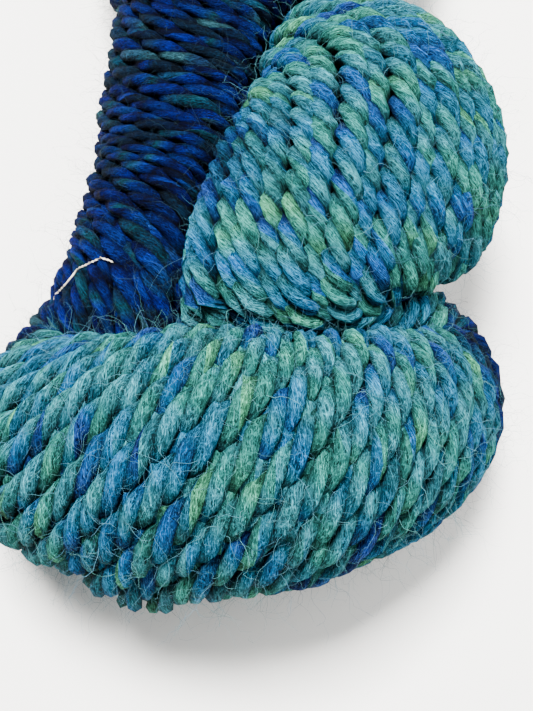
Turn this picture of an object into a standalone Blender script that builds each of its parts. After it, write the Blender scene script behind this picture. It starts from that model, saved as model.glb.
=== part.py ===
"""Twisted hank of super bulky wool yarn, lying on its side, with a cotton tie thread.

The hank is one ring of wound yarn. The ring is laid round itself, so two fat legs
cross each other from end to end, and each leg is itself twisted, so its strands run
slanting round it. One closed solid carries the legs and the ridges of the outer
strands. The tie thread is a second solid in a shallow groove round the left leg.

Lengths are in metres in the mesh. The tables and sizes below are in millimetres.
"""
from collections import namedtuple
from math import pi

import bpy
import numpy as np

MM = 0.001

# the leg at places once round the ring: where its centre lies, x across the hank to the
# right, y along it away from the near end, z up from the table, how fat it is there, and
# the turns that its strands have made there beyond an even twist
Place = namedtuple("Place", ["x", "y", "z", "radius", "twist"])
LEG = (
    Place(21.0, -79.0, 40.0, 29.0, 0.0),        # near lobe, its right end
    Place(-10.0, -87.0, 49.0, 32.5, -0.05),     # near lobe, lying across the front
    Place(-47.0, -81.0, 37.0, 28.5, -0.09),     # its left end, turning away
    Place(-46.0, -60.0, 20.0, 24.5, -0.12),     # down and back under the near lobe
    Place(-30.0, -41.0, 28.0, 27.5, -0.15),     # up at the left, where the tie is
    Place(-19.0, -4.0, 29.0, 30.5, -0.2),       # beside the fat lobe
    Place(-15.5, 38.0, 39.0, 29.0, -0.32),      # rising
    Place(1.0, 66.0, 51.0, 28.0, -0.4),         # second crossing, on top
    Place(24.0, 91.0, 40.0, 30.0, -0.38),       # down at the right
    Place(22.0, 114.0, 32.0, 29.0, -0.36),      # far turn
    Place(-6.0, 118.5, 50.0, 30.5, -0.34),      # far lobe
    Place(-29.0, 98.0, 39.0, 28.0, -0.36),      # down at the left
    Place(-18.0, 67.0, 27.0, 30.0, -0.34),      # under the second crossing
    Place(10.0, 35.0, 28.0, 28.5, -0.25),       # out at the right, rising
    Place(26.5, -4.0, 43.0, 38.5, -0.05),       # fat lobe, on top
    Place(5.5, -45.0, 36.5, 34.5, 0.15),        # its near end, dipping
    Place(36.0, -62.0, 19.5, 28.0, 0.12),       # near turn, down at the right
)
SAMPLES = 440           # samples of the centre line
EASING = 40             # rounds of averaging that ease its bends

STRANDS = 18            # strand ridges round a leg
TURNS = -4              # turns of the strands round the leg, once round the ring
RINGS = 88              # steps of the mesh along the leg
RIDGE = (-2.1, 0.0, 0.0)    # height of the points of one ridge: its edge and its crown
RIDGE_AT = (0.0, 0.32, 0.68)    # place of those points in the width of the ridge

PRESS = 14.0            # how squarely the legs press on each other
GAP = 0.6               # half of the space left between two pressed legs
FAR = (70, 40)          # from here on along the ring the fatter leg takes more room
SOLE = 1.3              # points nearer to the table than this lie flat on it

TIE_AT = (-34.0, -46.0, 26.0)   # the tie goes round the leg nearest to this point
GROOVE = 1.4            # depth of the groove that the tie pulls into the leg
TIE_RADIUS = 0.35
TIE_CLEAR = 0.36        # space between the tie and the leg
GIVE = (6.0, 0.3)       # points nearer to the tie than this give way by this share


def closed_curve(rows, count):
    """Smooth closed curve through the rows, in samples of even length."""
    rows = np.array(rows, float)
    rounds = len(rows)
    fine = []
    for i in range(rounds):
        a = rows[i - 1]
        b = rows[i]
        c = rows[(i + 1) % rounds]
        d = rows[(i + 2) % rounds]
        for t in np.arange(0.0, 1.0, 0.025):
            fine.append(b + 0.5 * t * (c - a + t * (2 * a - 5 * b + 4 * c - d
                                                    + t * (3 * b - 3 * c + d - a))))
    fine = np.array(fine)
    back = np.vstack([fine, fine[:1]])
    run = np.linalg.norm(np.diff(back[:, :3], axis=0), axis=1)
    along = np.concatenate([[0.0], np.cumsum(run)])
    at = np.arange(count) / count * along[-1]
    curve = np.stack([np.interp(at, along, back[:, k]) for k in range(5)], axis=1)
    for _ in range(EASING):
        curve = (np.roll(curve, 1, axis=0) + 2 * curve + np.roll(curve, -1, axis=0)) / 4
    return curve


def side_vectors(centre):
    """Two side vectors at each sample, turning as little as they can and closing."""
    count = len(centre)
    ahead = np.roll(centre, -1, axis=0) - np.roll(centre, 1, axis=0)
    ahead /= np.linalg.norm(ahead, axis=1)[:, None]
    side = np.zeros_like(centre)
    first = np.cross(ahead[0], (0.0, 0.0, 1.0))
    side[0] = first / np.linalg.norm(first)
    for i in range(1, count):
        moved = side[i - 1] - ahead[i] * np.dot(side[i - 1], ahead[i])
        side[i] = moved / np.linalg.norm(moved)
    last = side[-1] - ahead[0] * np.dot(side[-1], ahead[0])
    last /= np.linalg.norm(last)
    spare = np.arctan2(np.dot(np.cross(side[0], last), ahead[0]), np.dot(side[0], last))
    turn = -spare * np.arange(count) / count
    other = np.cross(ahead, side)
    side = side * np.cos(turn)[:, None] + other * np.sin(turn)[:, None]
    return side, np.cross(ahead, side)


def reach(curve, index, out, raised):
    """How far the leg's face stands from its centre along each outward direction.

    A leg ends half way to every other stretch of the ring, less the gap, and on
    the table. Between these it is round.
    """
    centre = curve[:, :3]
    size = curve[:, 3]
    count = len(curve)
    here = centre[index]
    radius = size[index]
    room = np.full(len(index), 1.0e6)
    for j in range(count):
        step = centre[j] - here
        apart = np.abs((index - j + count // 2) % count - count // 2)
        weight = np.clip((apart - FAR[0]) / FAR[1], 0.0, 1.0)
        square = (step * step).sum(axis=1) + weight * (radius ** 2 - size[j] ** 2)
        facing = (step * out).sum(axis=1)
        counts = (facing > 0.001) & (apart >= 6)
        half = np.maximum(square, 0.001) / (2 * np.where(counts, facing, 1.0))
        room = np.minimum(room, np.where(counts, half, 1.0e6))
    room = np.maximum(room - GAP, 1.0)
    full = radius + raised
    face = (full ** -PRESS + room ** -PRESS) ** (-1 / PRESS)
    down = np.maximum(-out[:, 2], 0.001)
    return np.minimum(face, here[:, 2] / down)


def finish(name, shape, colour, roughness, collection):
    """Object of the given mesh or curve, with its own plain material."""
    material = bpy.data.materials.new(name)
    material.use_nodes = True
    shader = material.node_tree.nodes["Principled BSDF"]
    shader.inputs["Base Color"].default_value = colour
    shader.inputs["Roughness"].default_value = roughness
    shape.materials.append(material)
    thing = bpy.data.objects.new(name, shape)
    collection.objects.link(thing)


def leg_mesh(points):
    """Closed loft through the rings of points, the last ring joined to the first."""
    rings, sides = points.shape[:2]
    faces = []
    for i in range(rings):
        for j in range(sides):
            k = (i + 1) % rings
            n = (j + 1) % sides
            faces.append((i * sides + j, i * sides + n, k * sides + n, k * sides + j))
    mesh = bpy.data.meshes.new("hank")
    mesh.from_pydata((points.reshape(-1, 3) * MM).tolist(), [], faces)
    mesh.update()
    return mesh


def thread_curve(path):
    """Round thread along a closed path."""
    curve = bpy.data.curves.new("tie", "CURVE")
    curve.dimensions = "3D"
    curve.bevel_depth = TIE_RADIUS * MM
    curve.bevel_resolution = 1
    spline = curve.splines.new("POLY")
    spline.points.add(len(path) - 1)
    for point, place in zip(spline.points, path * MM):
        point.co = (*place, 1.0)
    spline.use_cyclic_u = True
    return curve


def main():
    for thing in list(bpy.data.objects):
        bpy.data.objects.remove(thing, do_unlink=True)
    collection = bpy.data.collections.new("hank_of_yarn")
    bpy.context.scene.collection.children.link(collection)

    curve = closed_curve(LEG, SAMPLES)
    centre = curve[:, :3]
    side, other = side_vectors(centre)

    # one row of points per ring; the rows turn with the strands
    ring = np.arange(RINGS)
    index = ring * SAMPLES // RINGS
    ridge_place = (np.arange(STRANDS)[:, None] + np.array(RIDGE_AT)).reshape(-1) / STRANDS
    ridge_height = np.tile(RIDGE, STRANDS)
    turned_by = TURNS * ring / RINGS + curve[index, 4]
    angle = 2 * pi * (ridge_place[None, :] + turned_by[:, None])
    many = np.repeat(index, len(ridge_place))
    turned = angle.reshape(-1)
    out = side[many] * np.cos(turned)[:, None] + other[many] * np.sin(turned)[:, None]
    face = reach(curve, many, out, np.tile(ridge_height, RINGS))
    crown = reach(curve, many, out, np.zeros(len(many)))

    # the tie pulls a groove into the ring of points that it lies on
    tie_ring = int(np.argmin(np.linalg.norm(centre[index] - np.array(TIE_AT), axis=1)))
    on_tie = np.repeat(ring == tie_ring, len(ridge_place))
    face = np.where(on_tie, np.minimum(face, crown - GROOVE), face)
    body = (centre[many] + out * face[:, None]).reshape(RINGS, -1, 3)

    tie_reach = crown[on_tie] - GROOVE + TIE_CLEAR + TIE_RADIUS
    tie_path = centre[index[tie_ring]] + out[on_tie] * tie_reach[:, None]

    # the strands next to the tie, also those of the leg pressed on it, give way to it
    flat = body.reshape(-1, 3)
    nearest = np.min(np.linalg.norm(flat[:, None, :] - tie_path[None, :, :], axis=2), axis=1)
    give = np.where(on_tie, 0.0, GIVE[1] * np.maximum(GIVE[0] - nearest, 0.0))
    body = (flat - out * give[:, None]).reshape(RINGS, -1, 3)

    # points close to the table lie flat on it, and the hank stands on its middle
    low = body[:, :, 2] < SOLE
    body[:, :, 2] = np.where(low, 0.0, body[:, :, 2])
    corner = body.reshape(-1, 3).min(axis=0)
    opposite = body.reshape(-1, 3).max(axis=0)
    middle = np.array(((corner[0] + opposite[0]) / 2, (corner[1] + opposite[1]) / 2, 0.0))

    finish("hank", leg_mesh(body - middle), (0.09, 0.32, 0.37, 1.0), 0.92, collection)
    finish("tie", thread_curve(tie_path - middle), (0.80, 0.74, 0.60, 1.0), 0.85, collection)


main()
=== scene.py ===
"""Looks of a twisted hank of hand-dyed, super bulky wool.

The hank is one ring of wound yarn laid round itself. Its outer strands are laid one by
one as plied yarn, on an under layer of strands and a core painted near black as the shade
inside the leg, with a halo of loose fibres, and a cotton thread is tied round the left leg.
Tables and sizes are in millimetres unless they say otherwise, the meshes in metres.
"""
from collections import namedtuple
from math import cos, pi, radians, sin, tau

import bpy
import numpy as np
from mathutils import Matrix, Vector


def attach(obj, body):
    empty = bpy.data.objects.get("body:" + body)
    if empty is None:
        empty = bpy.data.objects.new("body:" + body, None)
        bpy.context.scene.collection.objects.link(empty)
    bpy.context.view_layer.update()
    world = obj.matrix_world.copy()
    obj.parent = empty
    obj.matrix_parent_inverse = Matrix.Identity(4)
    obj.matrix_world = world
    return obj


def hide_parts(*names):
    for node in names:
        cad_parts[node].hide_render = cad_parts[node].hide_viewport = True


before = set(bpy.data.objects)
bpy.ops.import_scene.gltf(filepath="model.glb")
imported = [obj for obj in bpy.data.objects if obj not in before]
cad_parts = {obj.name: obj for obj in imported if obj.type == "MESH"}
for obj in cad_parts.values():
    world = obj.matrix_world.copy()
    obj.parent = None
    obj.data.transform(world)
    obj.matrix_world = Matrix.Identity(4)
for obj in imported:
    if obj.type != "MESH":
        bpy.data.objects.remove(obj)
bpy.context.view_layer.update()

MM = 0.001
ROOT = "root"
TINY = 0.001            # stands in for nothing where something is divided by it
ENDLESS = 1.0e6         # more room than anything in the hank has

# ---------------------------------------------------------------- the wound ring

# the leg at places once round the ring: where its centre lies, x across the hank to the
# right, y along it away from the near end, z up from the table, how fat it is there, and
# the turns that its strands have made there beyond an even twist
Place = namedtuple("Place", ["x", "y", "z", "radius", "twist"])
LEG = (
    Place(21.0, -79.0, 40.0, 29.0, 0.0),        # near lobe, its right end
    Place(-10.0, -87.0, 49.0, 32.5, -0.05),     # near lobe, lying across the front
    Place(-47.0, -81.0, 37.0, 28.5, -0.09),     # its left end, turning away
    Place(-46.0, -60.0, 20.0, 24.5, -0.12),     # down and back under the near lobe
    Place(-30.0, -41.0, 28.0, 27.5, -0.15),     # up at the left, where the tie is
    Place(-19.0, -4.0, 29.0, 30.5, -0.2),       # beside the fat lobe
    Place(-15.5, 38.0, 39.0, 29.0, -0.32),      # rising
    Place(1.0, 66.0, 51.0, 28.0, -0.4),         # second crossing, on top
    Place(24.0, 91.0, 40.0, 30.0, -0.38),       # down at the right
    Place(22.0, 114.0, 32.0, 29.0, -0.36),      # far turn
    Place(-6.0, 118.5, 50.0, 30.5, -0.34),      # far lobe
    Place(-29.0, 98.0, 39.0, 28.0, -0.36),      # down at the left
    Place(-18.0, 67.0, 27.0, 30.0, -0.34),      # under the second crossing
    Place(10.0, 35.0, 28.0, 28.5, -0.25),       # out at the right, rising
    Place(26.5, -4.0, 43.0, 38.5, -0.05),       # fat lobe, on top
    Place(5.5, -45.0, 36.5, 34.5, 0.15),        # its near end, dipping
    Place(36.0, -62.0, 19.5, 28.0, 0.12),       # near turn, down at the right
)
MIDDLE = (-6.18, 15.17)     # the middle of the hank on the table, in the x and y of LEG
SAMPLES = 440               # samples of the centre line
EASING = 40                 # rounds of averaging that ease its bends
FINE = 0.025                # share of the way between two places that one fine step covers
STRANDS = 18                # outer strands round a leg
TURNS = -4                  # turns of the strands round the leg, once round the ring
PRESS = 14.0                # how squarely the legs press on each other
GAP = 0.6                   # half of the space left between two pressed legs
FAR = (70, 40)              # from here on along the ring the fatter leg takes more room
BESIDE = 6                  # samples nearer than this don't press on each other
FREEDOM = (6.0, 5.6)        # how a face grows free with the share of room that it has


def closed_curve(rows, count):
    """Smooth closed curve through the rows, in samples of even length."""
    rows = np.array(rows, float)
    rounds = len(rows)
    fine = []
    for i in range(rounds):
        a = rows[i - 1]
        b = rows[i]
        c = rows[(i + 1) % rounds]
        d = rows[(i + 2) % rounds]
        for t in np.arange(0.0, 1.0, FINE):
            fine.append(b + 0.5 * t * (c - a + t * (2 * a - 5 * b + 4 * c - d
                                                    + t * (3 * b - 3 * c + d - a))))
    fine = np.array(fine)
    back = np.vstack([fine, fine[:1]])
    run = np.linalg.norm(np.diff(back[:, :3], axis=0), axis=1)
    along = np.concatenate([[0.0], np.cumsum(run)])
    at = np.arange(count) / count * along[-1]
    curve = np.stack([np.interp(at, along, column) for column in back.T], axis=1)
    for _ in range(EASING):
        curve = (np.roll(curve, 1, axis=0) + 2 * curve + np.roll(curve, -1, axis=0)) / 4
    return curve


def side_vectors(centre):
    """Two side vectors at each sample, turning as little as they can and closing."""
    count = len(centre)
    ahead = np.roll(centre, -1, axis=0) - np.roll(centre, 1, axis=0)
    ahead /= np.linalg.norm(ahead, axis=1)[:, None]
    side = np.zeros_like(centre)
    first = np.cross(ahead[0], (0.0, 0.0, 1.0))
    side[0] = first / np.linalg.norm(first)
    for i in range(1, count):
        moved = side[i - 1] - ahead[i] * np.dot(side[i - 1], ahead[i])
        side[i] = moved / np.linalg.norm(moved)
    last = side[-1] - ahead[0] * np.dot(side[-1], ahead[0])
    last /= np.linalg.norm(last)
    spare = np.arctan2(np.dot(np.cross(side[0], last), ahead[0]), np.dot(side[0], last))
    turn = -spare * np.arange(count) / count
    other = np.cross(ahead, side)
    side = side * np.cos(turn)[:, None] + other * np.sin(turn)[:, None]
    return side, np.cross(ahead, side)


def reach(curve, index, out, raised):
    """How far the leg's face stands from its centre, and how freely it stands there.

    A leg ends half way to every other stretch of the ring, less the gap, and on the
    table. Between these it is round. The second result is 1 where nothing presses.
    """
    centre = curve[:, :3]
    size = curve[:, 3]
    count = len(curve)
    here = centre[index]
    radius = size[index]
    room = np.full(len(index), ENDLESS)
    for j in range(count):
        step = centre[j] - here
        apart = np.abs((index - j + count // 2) % count - count // 2)
        weight = np.clip((apart - FAR[0]) / FAR[1], 0.0, 1.0)
        square = (step * step).sum(axis=1) + weight * (radius ** 2 - size[j] ** 2)
        facing = (step * out).sum(axis=1)
        counts = (facing > TINY) & (apart >= BESIDE)
        half = np.maximum(square, TINY) / (2 * np.where(counts, facing, 1.0))
        room = np.minimum(room, np.where(counts, half, ENDLESS))
    room = np.maximum(room - GAP, 1.0)
    full = radius + raised
    face = (full ** -PRESS + room ** -PRESS) ** (-1 / PRESS)
    down = np.maximum(-out[:, 2], TINY)
    table = here[:, 2] / down
    free = np.clip(np.minimum(room, table) / full * FREEDOM[0] - FREEDOM[1], 0.0, 1.0)
    return np.minimum(face, table), free


CURVE = closed_curve(LEG, SAMPLES)
CENTRE = CURVE[:, :3]
TWIST = CURVE[:, 4]
SIDE, OTHER = side_vectors(CENTRE)
RING = np.arange(SAMPLES)


def lay(angle, depth, raised):
    """Points of a strand at the given angles round the leg, at a depth under its face."""
    out = SIDE * np.cos(angle)[:, None] + OTHER * np.sin(angle)[:, None]
    face, free = reach(CURVE, RING, out, raised)
    points = CENTRE + out * np.maximum(face - depth, 1.0)[:, None]
    return points, out, free


# ---------------------------------------------------------------- node trees

class Wire:
    """A socket that can stand in arithmetic: each operation adds its Math node."""

    def __init__(self, tree, socket):
        self.tree = tree
        self.socket = socket

    def maths(self, operation, *values):
        return self.tree.maths(operation, *values)

    def __add__(self, other):
        return self.maths("ADD", self, other)

    def __radd__(self, other):
        return self.maths("ADD", other, self)

    def __sub__(self, other):
        return self.maths("SUBTRACT", self, other)

    def __rsub__(self, other):
        return self.maths("SUBTRACT", other, self)

    def __mul__(self, other):
        return self.maths("MULTIPLY", self, other)

    def __rmul__(self, other):
        return self.maths("MULTIPLY", other, self)

    def __truediv__(self, other):
        return self.maths("DIVIDE", self, other)

    def __pow__(self, other):
        return self.maths("POWER", self, other)

    def __gt__(self, other):
        return self.maths("GREATER_THAN", self, other)

    def cos(self):
        return self.maths("COSINE", self)

    def sin(self):
        return self.maths("SINE", self)

    def size(self):
        return self.maths("ABSOLUTE", self)

    def floor(self):
        return self.maths("FLOOR", self)

    def at_least(self, other):
        return self.maths("MAXIMUM", self, other)

    def at_most(self, other):
        return self.maths("MINIMUM", self, other)


class Tree:
    """A material's or a modifier's node tree."""

    def __init__(self, tree):
        self.tree = tree

    def node(self, kind, settings=None, values=None, output=0):
        """Adds a node: its settings first, then the values or wires of its sockets."""
        node = self.tree.nodes.new(kind)
        for name, value in (settings or {}).items():
            if name == "stops":
                self.set_stops(node.color_ramp, value)
            else:
                setattr(node, name, value)
        pairs = values.items() if isinstance(values, dict) else enumerate(values or ())
        for key, value in pairs:
            self.feed(node.inputs[key], value)
        return Wire(self, node.outputs[output]) if node.outputs else None

    def feed(self, socket, value):
        """Puts a value or a wire on a socket."""
        if isinstance(value, Wire):
            self.tree.links.new(value.socket, socket)
        else:
            socket.default_value = value

    @staticmethod
    def set_stops(ramp, stops):
        while len(ramp.elements) < len(stops):
            ramp.elements.new(0.5)
        for element, stop in zip(ramp.elements, stops):
            element.position = stop.at
            element.color = (*stop.colour, 1.0)

    def more(self, wire, output):
        """Another output of the node that a wire comes from."""
        return Wire(self, wire.socket.node.outputs[output])

    def maths(self, operation, *values):
        return self.node("ShaderNodeMath", {"operation": operation}, values)

    def vector(self, x, y, z):
        return self.node("ShaderNodeCombineXYZ", {}, (x, y, z))

    def scaled(self, vector, by):
        return self.node("ShaderNodeVectorMath", {"operation": "SCALE"}, {0: vector, 3: by})

    def random(self, low, high, seed):
        """Random number of each point."""
        return self.node("FunctionNodeRandomValue", {"data_type": "FLOAT"}, {
            2: low, 3: high, 8: seed}, output=1)

    def noise(self, vector, scale, **values):
        """Noise in space around 0.5, with more of the node's values by name."""
        return self.node("ShaderNodeTexNoise", {"noise_dimensions": "3D"}, {
            "Vector": vector, "Scale": scale, **values})

    def mix(self, share, first, second, blend="MIX"):
        """Colour mix of two colours or wires."""
        return self.node("ShaderNodeMix", {"data_type": "RGBA", "blend_type": blend}, {
            0: share, 6: first, 7: second}, output=2)

    def attribute(self, name, output="Fac"):
        """Number or direction that a mesh carries, for a material."""
        return self.node("ShaderNodeAttribute", {"attribute_name": name}, output=output)


def rgb(text):
    """Linear colour from the six digits of a screen colour."""
    parts = [int(text[i:i + 2], 16) / 255 for i in (0, 2, 4)]
    return tuple(p / 12.92 if p <= 0.04045 else ((p + 0.055) / 1.055) ** 2.4 for p in parts)


# ---------------------------------------------------------------- the dyes

PLIES = 3
PITCH = 23.0            # one turn of the plies along the yarn
YARN = 2.95             # half the yarn's thickness where nothing presses on it

Dye = namedtuple("Dye", ["at", "colour"])
LIGHT_DYES = (
    Dye(0.00, rgb("0a3c8c")),       # deep azure
    Dye(0.13, rgb("0d5ca8")),       # azure
    Dye(0.24, rgb("0b6aa0")),       # azure, greener
    Dye(0.35, rgb("2488b2")),       # sky blue
    Dye(0.46, rgb("267c90")),       # teal
    Dye(0.56, rgb("40a0ae")),       # pale teal
    Dye(0.67, rgb("2a8a84")),       # sea green
    Dye(0.82, rgb("3ca494")),       # mint
    Dye(0.97, rgb("52b488")),       # green
)
DEEP_DYES = (
    Dye(0.00, rgb("040c2c")),       # navy
    Dye(0.18, rgb("0b2438")),       # deep teal
    Dye(0.32, rgb("0a1a78")),       # royal blue
    Dye(0.44, rgb("050a30")),       # navy
    Dye(0.56, rgb("0b267c")),       # royal blue, lighter
    Dye(0.70, rgb("15404e")),       # dusk teal
    Dye(0.84, rgb("05125c")),       # royal blue, deeper
    Dye(0.97, rgb("305c68")),       # grey teal
)
PAINTED_FIBRE_SHINE = rgb("a8dce6")    # painted shine on a single fibre
PAINTED_FIBRE_GLOW = rgb("78a8b4")      # painted glow of a loose fibre with the light behind it

# slow random runs along each ply: how long a stretch of one dye is, and where a run starts
Run = namedtuple("Run", ["stretch", "start"])
HUE_RUN = Run(26.0, 0.0)
DEPTH_RUN = Run(44.0, 9.0)
FADE_RUN = Run(15.0, 21.0)
PLY_STEP = 3.7          # from one ply's run to the next one's
HUE_SPREAD = 2.2        # how far the plies spread over the row of light dyes,
HUE_MIDDLE = 0.6        # round this place in it
HUE_DEEP = 0.5          # how far deep dye draws them towards its blue end
DEEP_SPREAD = 2.4       # how far the plies spread over the row of deep dyes
DEEP_PATCHES = 0.7      # how much the depth of the dye changes along a ply
DEEP_EDGE = 4.0         # how sharply light dyes go over into deep ones

Ply = namedtuple("Ply", ["along", "angle", "number", "across"])


def ply_here(tree):
    """Where a point lies: along the strand, round it, on which ply, and how far across it."""
    along = tree.attribute("along")
    parts = tree.node("ShaderNodeSeparateXYZ", {}, (tree.attribute("around", "Vector"),))
    angle = tree.maths("ARCTAN2", tree.more(parts, 1), parts)
    place = (angle / tau + 1.0) * PLIES
    number = place.floor()
    return Ply(along, angle, number, place - number)


def slow_run(tree, ply, run):
    """Slow random run of numbers along each ply."""
    place = tree.vector(ply.along / run.stretch, ply.number * PLY_STEP + run.start, 0.0)
    return tree.node("ShaderNodeTexNoise", {"noise_dimensions": "2D"}, {
        "Vector": place, "Scale": 1.0, "Detail": 2.0, "Roughness": 0.5})


def dyed(tree, ply):
    """The dye's colour, and how far it is one of the deep ones, from 0 to 1."""
    deep = tree.attribute("deep")
    hue = slow_run(tree, ply, HUE_RUN) - 0.5
    depth = slow_run(tree, ply, DEPTH_RUN) - 0.5
    light = tree.node("ShaderNodeValToRGB", {"stops": LIGHT_DYES}, {
        "Fac": hue * HUE_SPREAD + HUE_MIDDLE - deep * HUE_DEEP})
    dark = tree.node("ShaderNodeValToRGB", {"stops": DEEP_DYES}, {
        "Fac": depth * DEEP_SPREAD + 0.5})
    share = (deep + depth * DEEP_PATCHES - 0.5) * DEEP_EDGE + 0.5
    share = share.at_least(0.0).at_most(1.0)
    return tree.mix(share, light, dark), share


# ---------------------------------------------------------------- fibres on the yarn

# what lies on the plies: its turns round them to a turn of the plies, its breadth and
# length, how bright it is and how far it stands out in the bump
Lay = namedtuple("Lay", ["lean", "width", "length", "light", "height"])
ALONG_PLIES = Lay(0.12, 0.33, 2.2, 1.35, 0.6)
CROSSING = Lay(-0.50, 0.36, 1.5, 0.75, 0.3)
TUFTS = Lay(0.12, 1.1, 7.0, 1.0, 1.0)       # fleecy patches
FIBRE_THINNESS = 12.0   # how thin the fibres are in their noise
WAVERING = 0.9          # how much they waver
STRAY_SCALES = (230.0, 310.0)   # fibres that lie anyhow: noise cells to a metre
STRAY_THINNESS = 26.0
STRAY_WAVERING = 0.6
STRAY_LIGHT = 0.45      # how bright they are

DYE_STRENGTH = 0.45     # how much of the dye's colour the wool sends back in strong light
BETWEEN_FIBRES = 0.13   # how bright the wool is between its bright fibres
FADING = 1.7            # how much a ply fades and darkens along its length
DIMMEST = 0.08          # no wool is darker than this before the painted groove shade
PAINTED_SHINE_SHARE = 0.07            # share of painted plain shine on the bright fibres
IN_GROOVE = 0.20        # painted shade: light left in the grooves between plies
ON_CROWN = 0.86         # painted shade: light that is added up to the crown of a ply
CROWN_CURVE = 0.8
FACING_IN = 0.20        # painted shade: light left on a strand's sides
FACING_OUT = 0.88       # painted shade: light that is added where it faces outwards
BUMP_STRENGTH = 0.9
BUMP_HEIGHT = 0.6       # of fibres and tufts

LOOSE_STRENGTH = 0.7    # of loose fibres, more than of the yarn, as painted light: they lie in the light
LOOSE_DEEP = 0.6        # how much darker they are on deep dye
LOOSE_PALE = 0.55       # how pale they are with the painted glow, and how much less so on deep dye
LOOSE_PALE_DEEP = 0.25
WOOL_ROUGHNESS = 0.9
WOOL_SPECULAR = 0.03


def noise_along(tree, ply, kind):
    """Noise that is drawn out along the plies and closes round the strand."""
    turned = ply.angle + ply.along * (kind.lean * tau / PITCH)
    place = tree.vector(turned.cos() * (YARN / kind.width),
                        turned.sin() * (YARN / kind.width), ply.along / kind.length)
    return tree.noise(place, 1.0, Detail=1.0, Roughness=0.5, Distortion=WAVERING)


def thin_lines(noise, thinness):
    """Thin lines, from 0 to 1, where a noise crosses its middle."""
    return (1.0 - (noise - 0.5).size() * thinness).at_least(0.0)


def stray_fibres(tree):
    """Thin curly lines, from 0 to 1, that run anyhow over all the strands."""
    lines = 0.0
    for scale in STRAY_SCALES:
        noise = tree.noise(tree.node("ShaderNodeTexCoord", output=3), scale,
                           Detail=0.0, Distortion=STRAY_WAVERING)
        lines = lines + thin_lines(noise, STRAY_THINNESS)
    return lines


def finish_wool(tree, colour, shade):
    """Puts the shaded colour on the shader."""
    shader = tree.tree.nodes["Principled BSDF"]
    grey = tree.vector(shade, shade, shade)
    tree.feed(shader.inputs["Base Color"], tree.mix(1.0, colour, grey, "MULTIPLY"))
    shader.inputs["Roughness"].default_value = WOOL_ROUGHNESS
    shader.inputs["Specular IOR Level"].default_value = WOOL_SPECULAR


def dyed_wool():
    """Hand-dyed wool: every ply changes colour along its length, deep in some stretches, with
    painted shade in the grooves and on the strands' sides and painted shine on its bright
    fibres.
    """
    material = bpy.data.materials.new("dyed wool")
    material.use_nodes = True
    tree = Tree(material.node_tree)
    ply = ply_here(tree)
    colour, deep = dyed(tree, ply)
    faded = slow_run(tree, ply, FADE_RUN)
    tuft = noise_along(tree, ply, TUFTS)
    lines = thin_lines(noise_along(tree, ply, ALONG_PLIES), FIBRE_THINNESS)
    crossed = thin_lines(noise_along(tree, ply, CROSSING), FIBRE_THINNESS)
    # painted shine: the bright fibres are drawn towards a pale shine colour
    colour = tree.mix(lines * PAINTED_SHINE_SHARE * (1.0 - deep), colour, (*PAINTED_FIBRE_SHINE, 1.0))

    bright = BETWEEN_FIBRES + lines * ALONG_PLIES.light + crossed * CROSSING.light
    bright = bright + (tuft - 0.5) * TUFTS.light
    bright = (bright * ((faded - 0.5) * FADING + 1.0)).at_least(DIMMEST)
    bright = bright + stray_fibres(tree) * STRAY_LIGHT
    # painted shade: darker towards the grooves between the plies
    crown = (ply.across * pi).sin().at_least(0.0) ** CROWN_CURVE
    # painted shade: darker on the strands' sides, towards the gaps between them
    facing = tree.attribute("facing").at_least(0.0)
    shade = bright * DYE_STRENGTH * (IN_GROOVE + crown * ON_CROWN)
    finish_wool(tree, colour, shade * (FACING_IN + facing * FACING_OUT))

    height = lines * ALONG_PLIES.height + crossed * CROSSING.height + tuft * TUFTS.height
    bump = tree.node("ShaderNodeBump", {}, {
        "Strength": BUMP_STRENGTH, "Distance": BUMP_HEIGHT * MM, "Height": height})
    tree.feed(tree.tree.nodes["Principled BSDF"].inputs["Normal"], bump)
    return material


def loose_wool():
    """Loose fibres: the colour of the ply that they come from, paler and brighter with painted
    light.
    """
    material = bpy.data.materials.new("loose wool")
    material.use_nodes = True
    tree = Tree(material.node_tree)
    colour, deep = dyed(tree, ply_here(tree))
    # painted light: loose fibres are brightened and paled for the light that they lie in and
    # that shines through them
    shade = tree.attribute("tone") * LOOSE_STRENGTH * (1.0 - deep * LOOSE_DEEP)
    pale = LOOSE_PALE - deep * LOOSE_PALE_DEEP
    finish_wool(tree, tree.mix(pale, colour, (*PAINTED_FIBRE_GLOW, 1.0)), shade)
    return material


Plain = namedtuple("Plain", ["name", "colour", "roughness"])
# painted shade: the wool inside the leg is drawn near black for the shade deep among the strands
PAINTED_SHADE_INSIDE = Plain("inside of the leg", rgb("020810"), 1.0)
COTTON = Plain("cotton thread", rgb("d6ccb8"), 0.85)
TABLE_TOP = Plain("table_top", (0.75, 0.735, 0.70), 0.7)


def plain(look):
    """Material of one colour, without gloss."""
    material = bpy.data.materials.new(look.name)
    material.use_nodes = True
    shader = material.node_tree.nodes["Principled BSDF"]
    shader.inputs["Base Color"].default_value = (*look.colour, 1.0)
    shader.inputs["Roughness"].default_value = look.roughness
    shader.inputs["Specular IOR Level"].default_value = 0.0
    return material


# ---------------------------------------------------------------- the tie's way

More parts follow.
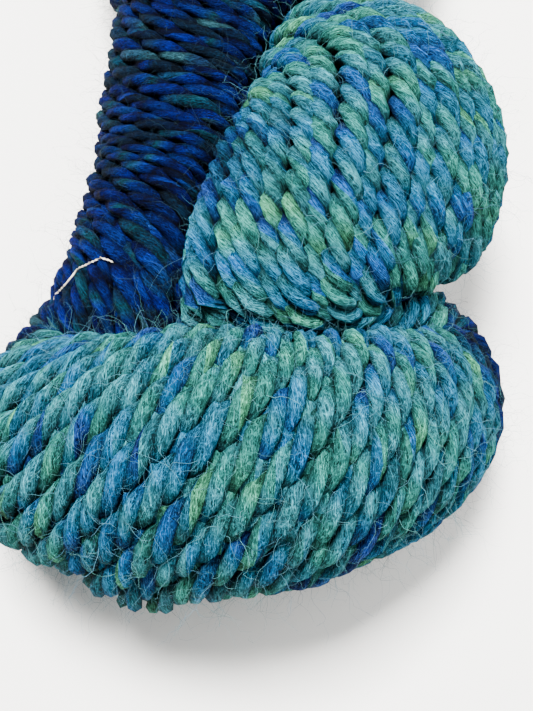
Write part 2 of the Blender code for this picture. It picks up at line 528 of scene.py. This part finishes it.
# the tie shows only on the outer side of the leg, at the left: turns round the leg, the
# sample of the ring that it is at, and how deep it is sunk under the leg's face
TiePlace = namedtuple("TiePlace", ["turn", "sample", "sunk"])
TIE = (
    TiePlace(0.70, 80.0, 6.0),
    TiePlace(0.80, 81.5, 2.5),
    TiePlace(0.84, 84.5, 0.9),
    TiePlace(0.858, 87.0, 0.8),
    TiePlace(0.868, 90.0, 0.8),
    TiePlace(0.885, 91.3, 0.8),
    TiePlace(0.905, 93.0, 1.3),
    TiePlace(0.92, 93.3, 2.8),
    TiePlace(0.935, 93.0, 6.0),
    TiePlace(0.99, 89.0, 8.0),
)
TIE_STEPS = 200
TIE_THREAD = 0.30       # half its thickness
TIE_PITCH = 2.2         # one turn of its two plies
TIE_REACH = 4.5         # strands nearer to it than this give way
TIE_GIVE = 0.35         # by this share of what is missing


def once_round(values, sample):
    """Run of places or directions round the ring, read between its samples."""
    low = np.floor(sample).astype(int)
    share = (sample - low)[:, None]
    return values[low % SAMPLES] * (1.0 - share) + values[(low + 1) % SAMPLES] * share


def tie_path():
    """Closed path of the tie, just under the face of the leg or sunk among the strands."""
    turn = np.arange(TIE_STEPS) / TIE_STEPS
    turns = [place.turn for place in TIE]
    sample = np.interp(turn, turns, [place.sample for place in TIE], period=1.0)
    sunk = np.interp(turn, turns, [place.sunk for place in TIE], period=1.0)
    out = (once_round(SIDE, sample) * np.cos(tau * turn)[:, None]
           + once_round(OTHER, sample) * np.sin(tau * turn)[:, None])
    face = reach(CURVE, np.round(sample).astype(int), out, 0.0)[0]
    return once_round(CENTRE, sample) + out * (face - sunk)[:, None], out


def give_way(points, out):
    """Moves the strands next to the tie towards the middle of the leg."""
    path = tie_path()[0]
    path = path[path[:, 2] > 0.0]
    flat = points.reshape(-1, 3)
    nearest = np.full(len(flat), ENDLESS)
    for place in path:
        nearest = np.minimum(nearest, np.linalg.norm(flat - place, axis=1))
    pulled = TIE_GIVE * np.maximum(TIE_REACH - nearest, 0.0)
    return points - out * pulled.reshape(points.shape[:2])[:, :, None]


# ---------------------------------------------------------------- strands of the ring

SEAM = 303              # sample where the yarn's numbering starts, under a crossing
SEED_STEP = 977.0       # apart in the yarn's numbering, so that no two strands are alike
PLY_START = 2.4         # how far the plies of a strand are turned on from the strand before

# where the dye is deep, once round the ring, and how deep
Stretch = namedtuple("Stretch", ["start", "end", "depth"])
DEEP_STRETCHES = (
    Stretch(0.140, 0.395, 1.0),     # left leg, from the tie to the second crossing
    Stretch(0.60, 0.755, 0.75),     # far end and under the second crossing
    Stretch(0.938, 0.968, 0.95),    # near turn, down at the right
)
DYE_FLOOR = 0.22        # elsewhere, so that a few patches are deep there too
SHEER = 0.03            # how soon the dye goes from light to deep, once round the ring

DeepSpot = namedtuple("DeepSpot", ["x", "y", "z", "reach", "deeper"])
DEEP_SPOTS = (           # round these places the strands take more of the deep colours, darker and bluer
    DeepSpot(-8.0, -16.0, 62.0, 25.0, 0.55),    # left side of the fat lobe
    DeepSpot(-50.0, -88.0, 45.0, 26.0, 0.34),   # left end of the near lobe
)
Bulge = namedtuple("Bulge", ["x", "y", "z", "reach", "height"])
BULGES = (              # where the strands are pushed outwards
    Bulge(-29.0, -116.0, 42.0, 8.0, 4.5),   # felted loop at the front, low at the left
    Bulge(-8.0, -8.0, 66.0, 14.0, 1.2),     # left side of the fat lobe
)
# once round the ring, and turns of the plies beyond an even twist: closer on the fat lobe
PlyTurn = namedtuple("PlyTurn", ["at", "extra"])
PLY_TURNS = (PlyTurn(0.0, 0.0), PlyTurn(0.74, 0.0), PlyTurn(0.96, 3.0), PlyTurn(1.0, 3.0))

# slow waves once round the ring: how many, and how big at most
Wave = namedtuple("Wave", ["count", "size"])
SWAYS = (               # to the sides, in turns round the leg
    Wave(2, 0.012), Wave(5, 0.011), Wave(9, 0.007), Wave(14, 0.005), Wave(23, 0.003))
RISES = (Wave(4, 0.5), Wave(9, 0.45), Wave(17, 0.35), Wave(31, 0.2))    # outwards
WEAKEST = 0.5           # a wave is at least this share of its size

LayerPlan = namedtuple("LayerPlan", ["seed", "shift", "depth"])
OUTER = LayerPlan(11, 0.0, 0.0)
UNDER = LayerPlan(12, 0.5, 2.7)     # between the outer strands, and deeper
Layer = namedtuple("Layer", ["points", "out", "radius", "free"])

SETTLING = 3            # rounds in which the strands settle between their neighbours
SETTLE = 0.35           # how far they go in one round
SETTLE_EASING = 12      # rounds of averaging along the strands, of how far they go
THICK_EASING = 6        # and of the room that makes them thick or thin
FILL = 0.56             # half a strand's thickness, as a share of its room
THINNEST = 1.9          # limits of half a strand's thickness
THICKEST = 4.0
WIDE = 7.2              # where strands have more room than this, the under layer rises,
WIDER = 3.5             # over this much more room
RISE_IN_GAPS = 0.75     # by this share of its depth
CLEAR = 0.35            # the lowest strands and fibres stay this far above the table


def wander(rng, waves):
    """Smooth closed random run of numbers once round the ring."""
    run = np.zeros(SAMPLES)
    for wave in waves:
        phase = rng.uniform(0.0, tau)
        size = wave.size * rng.uniform(WEAKEST, 1.0)
        run += size * np.sin(tau * wave.count * RING / SAMPLES + phase)
    return run


def dye_depth(index):
    """How deep the dye is once round the ring, from 0 to 1."""
    place = (index / SAMPLES) % 1.0
    depth = np.full(len(index), DYE_FLOOR)
    for stretch in DEEP_STRETCHES:
        inside = np.minimum(place - stretch.start, stretch.end - place) / SHEER
        depth = np.maximum(depth, stretch.depth * np.clip(inside + 0.5, 0.0, 1.0))
    return depth


def deepening(points):
    """How far each point is drawn further towards the deep colours, from the places near it."""
    deeper = np.zeros(len(points))
    for spot in DEEP_SPOTS:
        away = np.linalg.norm(points - np.array(spot[:3]), axis=1) / spot.reach
        deeper = np.maximum(deeper, spot.deeper * np.exp(-away ** 2))
    return deeper


def bulging(points):
    """How far each point of the strands is pushed outwards."""
    height = np.zeros(points.shape[:2])
    for bulge in BULGES:
        away = np.linalg.norm(points - np.array(bulge[:3]), axis=2) / bulge.reach
        height += bulge.height * np.exp(-away ** 2)
    return height


def eased(values, rounds):
    """Numbers averaged along each strand."""
    for _ in range(rounds):
        values = (np.roll(values, 1, axis=1) + 2 * values + np.roll(values, -1, axis=1)) / 4
    return values


def spaces(points):
    """Room from each strand to the next one, square to the strand."""
    ahead = np.roll(points, -1, axis=1) - np.roll(points, 1, axis=1)
    ahead /= np.linalg.norm(ahead, axis=2)[:, :, None]
    beside = np.roll(points, -1, axis=0) - points
    beside -= ahead * (beside * ahead).sum(axis=2)[:, :, None]
    return np.linalg.norm(beside, axis=2)


def strand_layer(plan):
    """One layer of strands, each as thick as its neighbours let it be."""
    rng = np.random.default_rng(plan.seed)
    angles = []
    raised = []
    for k in range(STRANDS):
        sway = wander(rng, SWAYS)
        angles.append(tau * ((k + plan.shift) / STRANDS + TURNS * RING / SAMPLES + TWIST + sway))
        raised.append(wander(rng, RISES))
    angles = np.array(angles)

    for _ in range(SETTLING):
        space = spaces(np.array([lay(angle, YARN + plan.depth, 0.0)[0] for angle in angles]))
        behind = np.roll(space, 1, axis=0)
        moved = eased((space - behind) / (space + behind), SETTLE_EASING)
        angles += moved * SETTLE * tau / STRANDS
    settled = np.array([lay(angle, YARN + plan.depth, 0.0)[0] for angle in angles])
    raised = np.array(raised) + bulging(settled)
    space = spaces(settled)
    space = eased((space + np.roll(space, 1, axis=0)) / 2, THICK_EASING)
    radius = np.clip(space * FILL, THINNEST, THICKEST)
    wide = np.clip((space - WIDE) / WIDER, 0.0, 1.0)
    depth = radius + plan.depth * (1.0 - RISE_IN_GAPS * wide)

    laid = [lay(*strand) for strand in zip(angles, depth, raised)]
    out = np.array([row[1] for row in laid])
    points = give_way(np.array([row[0] for row in laid]), out)
    points[:, :, 2] = np.maximum(points[:, :, 2], radius + CLEAR)
    return Layer(points, out, radius, np.array([row[2] for row in laid]))


def strand_wire(layer, numbers):
    """Wire of some strands of a layer, with what the yarn needs to know at each point."""
    order = (RING + SEAM) % SAMPLES
    extra = np.interp(order / SAMPLES, [row.at for row in PLY_TURNS],
                      [row.extra for row in PLY_TURNS])
    places = []
    edges = []
    marks = {"tilt": [], "thick": [], "along": [], "deep": [], "free": [], "away": []}
    for k in numbers:
        row = layer.points[k, order]
        step = np.linalg.norm(row - np.roll(row, 1, axis=0), axis=1)
        along = np.cumsum(step) - step[0]
        turns = round(step.sum() / PITCH)
        start = len(places)
        places.extend(row)
        edges.extend((start + i, start + (i + 1) % SAMPLES) for i in range(SAMPLES))
        marks["tilt"].extend(PLY_START * k - tau * (turns * along / step.sum() + extra))
        marks["thick"].extend(layer.radius[k, order])
        marks["along"].extend(along + SEED_STEP * (k + 1))
        marks["deep"].extend(np.maximum(dye_depth(order), deepening(row)))
        marks["free"].extend(layer.free[k, order])
        marks["away"].extend(layer.out[k, order])
    return wire_mesh("strand_wire", np.array(places), edges, marks)


def tie_wire():
    """Wire of the tie."""
    path, out = tie_path()
    step = np.linalg.norm(path - np.roll(path, 1, axis=0), axis=1)
    along = np.cumsum(step) - step[0]
    turns = round(step.sum() / TIE_PITCH)
    edges = [(i, (i + 1) % TIE_STEPS) for i in range(TIE_STEPS)]
    marks = {"tilt": tau * turns * along / step.sum(), "thick": np.full(TIE_STEPS, TIE_THREAD),
             "away": out}
    return wire_mesh("tie_wire", path, edges, marks)


def placed(name, mesh):
    """Object of a mesh, put into the scene."""
    thing = bpy.data.objects.new(name, mesh)
    bpy.context.scene.collection.objects.link(thing)
    return thing


def in_metres(points):
    """Points of the ring in metres from the middle of the hank."""
    return ((points - np.array((*MIDDLE, 0.0))) * MM).tolist()


def wire_mesh(name, places, edges, marks):
    """Wire with named numbers and directions on its points."""
    mesh = bpy.data.meshes.new(name)
    mesh.from_pydata(in_metres(places), edges, [])
    for key, values in marks.items():
        values = np.array(values, np.float32)
        if values.ndim == 1:
            mesh.attributes.new(key, "FLOAT", "POINT").data.foreach_set("value", values)
        else:
            layer = mesh.attributes.new(key, "FLOAT_VECTOR", "POINT")
            layer.data.foreach_set("vector", values.reshape(-1))
    return placed(name, mesh)


# ---------------------------------------------------------------- modifiers

# section of a yarn: its plies, the mesh's sides on each, how deep the grooves between them
# are to its radius, and how much thicker it is at one place than at another
Section = namedtuple("Section", ["plies", "sides", "groove", "uneven"])
OUTER_YARN = Section(PLIES, 4, 0.42, 1.6)
UNDER_YARN = Section(PLIES, 2, 0.3, 1.6)
TIE_YARN = Section(2, 4, 0.25, 0.0)
UNEVEN_SCALE = 210.0    # thicker places to a metre
LOBE_CURVE = 0.7        # how full a ply is beside its crown

# loose fibres: how many to a square metre, how long, how steeply they rise in radians, how
# far they curl, curls to a metre, points along one, and thickness
Fibres = namedtuple("Fibres", [
    "name", "seed", "density", "length", "rise", "curl", "curls", "points", "thickness"])
LOOSE_FIBRES = (
    Fibres("fuzz", 1, 60000.0, 7.5, 0.85, 8.0, 200.0, 9, 0.024),
    Fibres("flyaways", 2, 32000.0, 15.0, 1.3, 17.0, 190.0, 12, 0.034),
)
OUTWARD = 0.1           # roots lie where a face looks outwards by more than this,
FREE = 0.3              # and where it is freer than this
LEAST_RISE = 0.05       # shares of the most that a fibre has at least
LEAST_LENGTH = 0.35
LEAST_TONE = 0.25
CURL_CURVE = 0.7        # how soon from its root on a fibre curls
TAPER = 0.7             # how much thinner its tip is
HIGHEST = 92.0          # no loose fibre rises above this


def geometry_tree(name, inputs):
    """Empty modifier tree with a geometry socket each way and named inputs."""
    group = bpy.data.node_groups.new(name, "GeometryNodeTree")
    side = group.interface
    side.new_socket("Geometry", in_out="INPUT", socket_type="NodeSocketGeometry")
    for label, kind in inputs:
        side.new_socket(label, in_out="INPUT", socket_type=kind)
    side.new_socket("Geometry", in_out="OUTPUT", socket_type="NodeSocketGeometry")
    return group, Tree(group)


def named(tree, label, kind="FLOAT"):
    """Named number or direction of the geometry."""
    return tree.node("GeometryNodeInputNamedAttribute", {"data_type": kind}, {"Name": label})


def store(tree, geometry, label, value, kind="FLOAT"):
    """Geometry with a number or direction kept on its points."""
    return tree.node("GeometryNodeStoreNamedAttribute", {
        "data_type": kind, "domain": "POINT"}, {
        "Geometry": geometry, "Name": label, "Value": value})


def outward(tree):
    """How squarely a face looks away from the middle of the leg."""
    return tree.node("ShaderNodeVectorMath", {"operation": "DOT_PRODUCT"}, (
        tree.node("GeometryNodeInputNormal"), named(tree, "away", "FLOAT_VECTOR")), output=1)


def yarn_section(tree, plies, sides, groove):
    """Section of a yarn: a lobe for each ply with a groove on either side."""
    count = plies * sides
    circle = tree.node("GeometryNodeCurvePrimitiveCircle", {}, {
        "Resolution": count, "Radius": 1.0})
    part = tree.node("GeometryNodeInputIndex") / count
    lobe = (part * plies * pi).sin().size()
    reach_out = 1.0 - groove + groove * lobe ** LOBE_CURVE
    east = (part * tau).cos()
    north = (part * tau).sin()
    circle = tree.node("GeometryNodeSetPosition", {}, {
        "Geometry": circle,
        "Position": tree.vector(east * reach_out, north * reach_out, 0.0)})
    return store(tree, circle, "around", tree.vector(east, north, 0.0), "FLOAT_VECTOR")


def plied_yarn_tree():
    """Turns wires into plied yarn: a section of lobes that turns along each strand."""
    group, tree = geometry_tree("plied yarn", (
        ("Plies", "NodeSocketInt"), ("Sides of a ply", "NodeSocketInt"),
        ("Groove", "NodeSocketFloat"), ("Unevenness", "NodeSocketFloat"),
        ("Material", "NodeSocketMaterial")))
    source = tree.node("NodeGroupInput")
    curve = tree.node("GeometryNodeMeshToCurve", {}, {"Mesh": source})
    curve = tree.node("GeometryNodeSetCurveTilt", {}, {
        "Curve": curve, "Tilt": named(tree, "tilt")})
    section = yarn_section(tree, tree.more(source, "Plies"),
                           tree.more(source, "Sides of a ply"), tree.more(source, "Groove"))
    yarn = tree.node("GeometryNodeCurveToMesh", {}, {
        "Curve": curve, "Profile Curve": section, "Scale": named(tree, "thick") * MM})
    uneven = tree.noise(tree.node("GeometryNodeInputPosition"), UNEVEN_SCALE, Detail=1.0)
    swollen = tree.scaled(tree.node("GeometryNodeInputNormal"),
                          (uneven - 0.5) * tree.more(source, "Unevenness"))
    yarn = tree.node("GeometryNodeSetPosition", {}, {"Geometry": yarn, "Offset": swollen})
    yarn = tree.node("GeometryNodeSetShadeSmooth", {}, {"Geometry": yarn})
    yarn = tree.node("GeometryNodeRealizeInstances", {}, {"Geometry": yarn})
    # kept for the painted shade on the strands' sides
    yarn = store(tree, yarn, "facing", outward(tree))
    yarn = tree.node("GeometryNodeSetMaterial", {}, {
        "Geometry": yarn, "Material": tree.more(source, "Material")})
    tree.node("NodeGroupOutput", {}, {0: yarn})
    return group


def straight_fibres(tree, source):
    """Straight fibres scattered over the free, outward side of the yarn."""
    seed = tree.more(source, "Seed")
    chosen = (outward(tree) > OUTWARD) * (named(tree, "free") > FREE)
    roots = tree.node("GeometryNodeDistributePointsOnFaces", {}, {
        "Mesh": source, "Selection": chosen, "Density": tree.more(source, "Density"),
        "Seed": seed})
    upright = tree.more(roots, "Rotation")
    spin = tree.random(0.0, tau, seed + 1)
    rise = tree.random(LEAST_RISE, 1.0, seed + 2) * tree.more(source, "Rise")
    turn = tree.node("FunctionNodeEulerToRotation", {}, (tree.vector(0.0, 0.0 - rise, spin),))
    facing = tree.node("FunctionNodeRotateRotation", {"rotation_space": "LOCAL"}, (
        upright, turn))
    size = tree.random(LEAST_LENGTH, 1.0, seed + 3) * tree.more(source, "Length")
    roots = store(tree, roots, "tone", tree.random(LEAST_TONE, 1.0, seed + 4))
    line = tree.node("GeometryNodeCurvePrimitiveLine", {}, {
        "Start": (0.0, 0.0, 0.0), "End": (1.0, 0.0, 0.0)})
    line = tree.node("GeometryNodeResampleCurve", {}, {
        "Curve": line, "Count": tree.more(source, "Points")})
    line = store(tree, line, "reached", tree.node("GeometryNodeSplineParameter"))
    fibres = tree.node("GeometryNodeInstanceOnPoints", {}, {
        "Points": roots, "Instance": line, "Rotation": facing, "Scale": size})
    return tree.node("GeometryNodeRealizeInstances", {}, {"Geometry": fibres})


def curled(tree, source, fibres):
    """Fibres bent by where they lie, between the table and the highest place."""
    bend = tree.more(tree.noise(
        tree.node("GeometryNodeInputPosition"), tree.more(source, "Curls to a metre"),
        Detail=1.0), "Color")
    bend = tree.node("ShaderNodeVectorMath", {"operation": "SUBTRACT"}, (bend, (0.5, 0.5, 0.5)))
    share = named(tree, "reached") ** CURL_CURVE * tree.more(source, "Curl")
    fibres = tree.node("GeometryNodeSetPosition", {}, {
        "Geometry": fibres, "Offset": tree.scaled(bend, share)})
    place = tree.node("ShaderNodeSeparateXYZ", {}, (tree.node("GeometryNodeInputPosition"),))
    height = tree.more(place, 2).at_least(CLEAR * MM).at_most(HIGHEST * MM)
    return tree.node("GeometryNodeSetPosition", {}, {
        "Geometry": fibres, "Position": tree.vector(place, tree.more(place, 1), height)})


def loose_fibres_tree():
    """Scatters curly fibres over the yarn."""
    group, tree = geometry_tree("loose fibres", (
        ("Density", "NodeSocketFloat"), ("Seed", "NodeSocketInt"),
        ("Length", "NodeSocketFloat"), ("Rise", "NodeSocketFloat"),
        ("Curl", "NodeSocketFloat"), ("Curls to a metre", "NodeSocketFloat"),
        ("Points", "NodeSocketInt"), ("Thickness", "NodeSocketFloat"),
        ("Material", "NodeSocketMaterial")))
    source = tree.node("NodeGroupInput")
    fibres = curled(tree, source, straight_fibres(tree, source))
    section = tree.node("GeometryNodeCurvePrimitiveCircle", {}, {"Resolution": 3, "Radius": 1.0})
    thickness = (1.0 - named(tree, "reached") * TAPER) * tree.more(source, "Thickness")
    fibres = tree.node("GeometryNodeCurveToMesh", {}, {
        "Curve": fibres, "Profile Curve": section, "Scale": thickness, "Fill Caps": True})
    fibres = tree.node("GeometryNodeSetMaterial", {}, {
        "Geometry": fibres, "Material": tree.more(source, "Material")})
    tree.node("NodeGroupOutput", {}, {0: fibres})
    return group


def made_mesh(thing, group, settings, name):
    """Runs a tree on an object and keeps the plain mesh that it gives."""
    modifier = thing.modifiers.new("make", "NODES")
    modifier.node_group = group
    for item in group.interface.items_tree:
        if item.in_out == "INPUT" and item.name in settings:
            modifier[item.identifier] = settings[item.name]
    graph = bpy.context.evaluated_depsgraph_get()
    mesh = bpy.data.meshes.new_from_object(thing.evaluated_get(graph))
    thing.modifiers.remove(modifier)
    mesh.name = name
    return placed(name, mesh)


# ---------------------------------------------------------------- the pieces

CORE_RINGS = 88         # steps of the core's mesh along the leg
CORE_SIDES = 44         # and round it
CORE_DEPTH = 9.0        # of the core under the leg's face
CORE_REST = 5.9         # its lowest height above the table

Half = namedtuple("Half", ["name", "numbers", "seed"])
HALVES = (              # every other one of the outer strands, and its fibres' seed
    Half("first", range(0, STRANDS, 2), 5),
    Half("second", range(1, STRANDS, 2), 6),
)


def dress(piece, node):
    """Gives a piece its body, and hides the node of the model that it stands for."""
    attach(piece, ROOT)
    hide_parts(node)


def painted_shade_core():
    """Inside of the leg, deep under its strands, plain near black as painted shade."""
    turned = TURNS * RING / SAMPLES + TWIST
    rows = [lay(tau * (k / CORE_SIDES + turned), CORE_DEPTH, 0.0)[0] for k in range(CORE_SIDES)]
    points = np.array(rows)[:, ::SAMPLES // CORE_RINGS].transpose(1, 0, 2)
    points[:, :, 2] = np.maximum(points[:, :, 2], CORE_REST)
    faces = []
    for i in range(CORE_RINGS):
        for j in range(CORE_SIDES):
            k = (i + 1) % CORE_RINGS
            n = (j + 1) % CORE_SIDES
            faces.append((i * CORE_SIDES + j, i * CORE_SIDES + n,
                          k * CORE_SIDES + n, k * CORE_SIDES + j))
    mesh = bpy.data.meshes.new("core")
    mesh.from_pydata(in_metres(points.reshape(-1, 3)), [], faces)
    mesh.materials.append(plain(PAINTED_SHADE_INSIDE))
    return placed("core", mesh)


def spun(wire, group, section, material, name):
    """Yarn of the given section along a wire, which goes."""
    yarn = made_mesh(wire, group, {
        "Plies": section.plies, "Sides of a ply": section.sides, "Groove": section.groove,
        "Unevenness": section.uneven * MM, "Material": material}, name)
    bpy.data.objects.remove(wire)
    return yarn


def tie_thread(yarn):
    """Two-ply cotton thread round the left leg."""
    return spun(tie_wire(), yarn, TIE_YARN, plain(COTTON), "tie_thread")


def under_strands(yarn, wool):
    """The strands that show between the outer ones."""
    wire = strand_wire(strand_layer(UNDER), range(STRANDS))
    return spun(wire, yarn, UNDER_YARN, wool, "under_strands")


def outer_strands(layer, half, yarn, wool):
    """One half of the outer strands."""
    wire = strand_wire(layer, half.numbers)
    return spun(wire, yarn, OUTER_YARN, wool, "outer_strands_" + half.name)


def loose_fibres(strands, kind, half, fibres, material):
    """One kind of loose fibres on one half of the outer strands."""
    return made_mesh(strands, fibres, {
        "Density": kind.density, "Seed": kind.seed + half.seed,
        "Length": kind.length * MM, "Rise": kind.rise, "Curl": kind.curl * MM,
        "Curls to a metre": kind.curls, "Points": kind.points,
        "Thickness": kind.thickness * MM, "Material": material}, kind.name + "_" + half.name)


# ---------------------------------------------------------------- floor, light and camera

AIM = (0.0, -60.0, 45.0)    # what the camera looks at, in the x, y and z of LEG
LIFT = 70.0                 # how steeply it looks down, in degrees
AWAY = 220.0                # how far off it stands
SENSOR = 36.0
FOCAL_PIXELS = 902          # its focal length, in pixels of the picture
PICTURE_HEIGHT = 711
NEAREST = 10.0              # nothing nearer to it than this is drawn

TABLE_HALF = 3000.0         # half the width of the table top
ROOM_COLOUR = (0.95, 0.97, 1.0)
ROOM_STRENGTH = 0.48
Lamp = namedtuple("Lamp", ["name", "place", "size", "power"])
LAMPS = (                   # places and sizes in metres, power in watts
    Lamp("window", (-0.10, 0.18, 0.97), 0.30, 76.0),
    Lamp("lamp", (0.6, 0.0, 0.8), 0.8, 13.0),
)


def camera():
    """Camera that looks down steeply on the near half of the hank."""
    aim = (Vector(AIM) - Vector((*MIDDLE, 0.0))) * MM
    back = Vector((0.0, -cos(radians(LIFT)), sin(radians(LIFT))))
    data = bpy.data.cameras.new("camera")
    data.sensor_width = SENSOR
    data.lens = SENSOR * FOCAL_PIXELS / PICTURE_HEIGHT
    data.clip_start = NEAREST * MM
    thing = bpy.data.objects.new("camera", data)
    thing.location = aim + back * (AWAY * MM)
    thing.rotation_euler = back.to_track_quat("Z", "Y").to_euler()
    bpy.context.scene.collection.objects.link(thing)
    bpy.context.scene.camera = thing


def table_top():
    """Pale table that the hank lies on."""
    half = TABLE_HALF * MM
    mesh = bpy.data.meshes.new("table_top")
    mesh.from_pydata([(-half, -half, 0), (half, -half, 0), (half, half, 0), (-half, half, 0)],
                     [], [(0, 1, 2, 3)])
    mesh.materials.append(plain(TABLE_TOP))
    placed("table_top", mesh)


def lights():
    """Even light of the room, a window over the hank and a weak lamp at the right."""
    world = bpy.data.worlds.new("room")
    world.use_nodes = True
    background = world.node_tree.nodes["Background"]
    background.inputs["Color"].default_value = (*ROOM_COLOUR, 1.0)
    background.inputs["Strength"].default_value = ROOM_STRENGTH
    bpy.context.scene.world = world
    for lamp in LAMPS:
        light = bpy.data.lights.new(lamp.name, "AREA")
        light.energy = lamp.power
        light.size = lamp.size
        thing = bpy.data.objects.new(lamp.name, light)
        thing.location = lamp.place
        thing.rotation_euler = Vector(lamp.place).to_track_quat("Z", "Y").to_euler()
        bpy.context.scene.collection.objects.link(thing)


def main():
    camera()
    table_top()
    lights()
    wool = dyed_wool()
    loose = loose_wool()
    yarn = plied_yarn_tree()
    fibres = loose_fibres_tree()

    dress(painted_shade_core(), "hank")
    dress(tie_thread(yarn), "tie")
    dress(under_strands(yarn, wool), "hank")
    outer = strand_layer(OUTER)
    for half in HALVES:
        strands = outer_strands(outer, half, yarn, wool)
        dress(strands, "hank")
        for kind in LOOSE_FIBRES:
            dress(loose_fibres(strands, kind, half, fibres, loose), "hank")


main()
